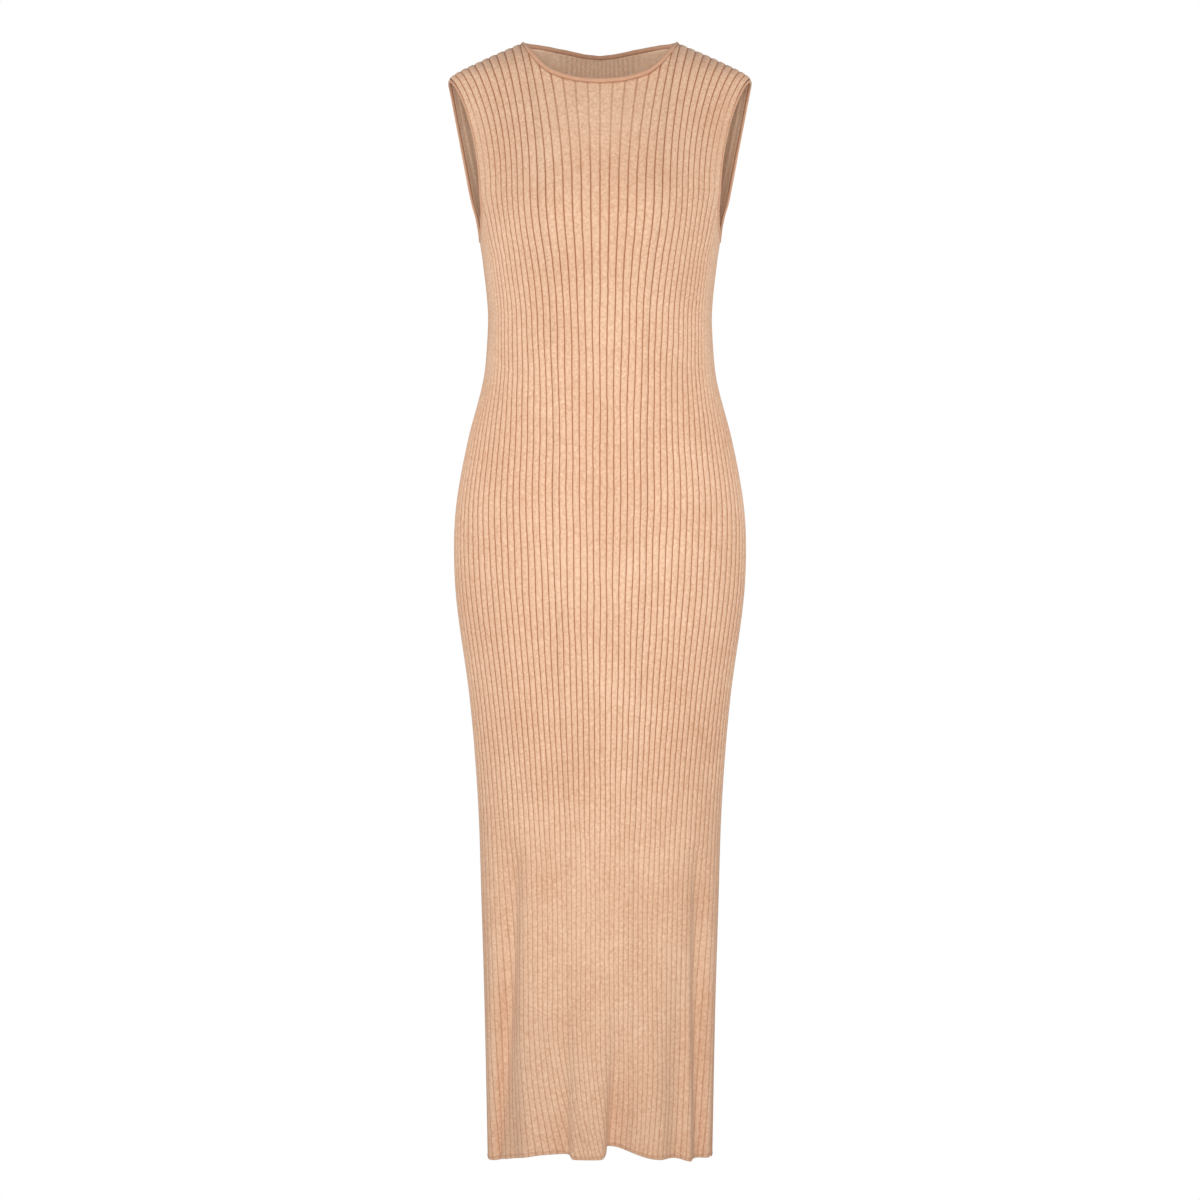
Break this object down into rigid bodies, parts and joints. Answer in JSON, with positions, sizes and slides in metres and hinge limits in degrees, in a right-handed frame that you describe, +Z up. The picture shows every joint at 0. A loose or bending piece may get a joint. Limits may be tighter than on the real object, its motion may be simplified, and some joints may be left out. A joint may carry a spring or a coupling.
{
  "type": "sweater dress",
  "caption": "Sleeveless rib-knit sweater dress, close-fitting and ankle length, with a round rolled neck, wide shoulders, open armholes and a wavy hem, hollow and filled out as worn",
  "frame": {"origin": "on the centre line, level with the top of the neck, above the shoulder seams", "axes": "+Z up, the front faces -Y, +X towards the wearer's left"},
  "size_m": [0.3556, 0.2382, 1.2991],
  "materials": {
    "rib_knit": "fine heathered camel rib knit, soft and matt",
    "rolled_edge": "narrow plain-knit edge that rolls over, camel, matt"
  },
  "bodies": {
    "root": {"front_panel": "rib_knit", "back_panel": "rib_knit", "neck_roll": "rolled_edge", "armhole_roll_left": "rolled_edge", "armhole_roll_right": "rolled_edge"}
  },
  "joints": []
}
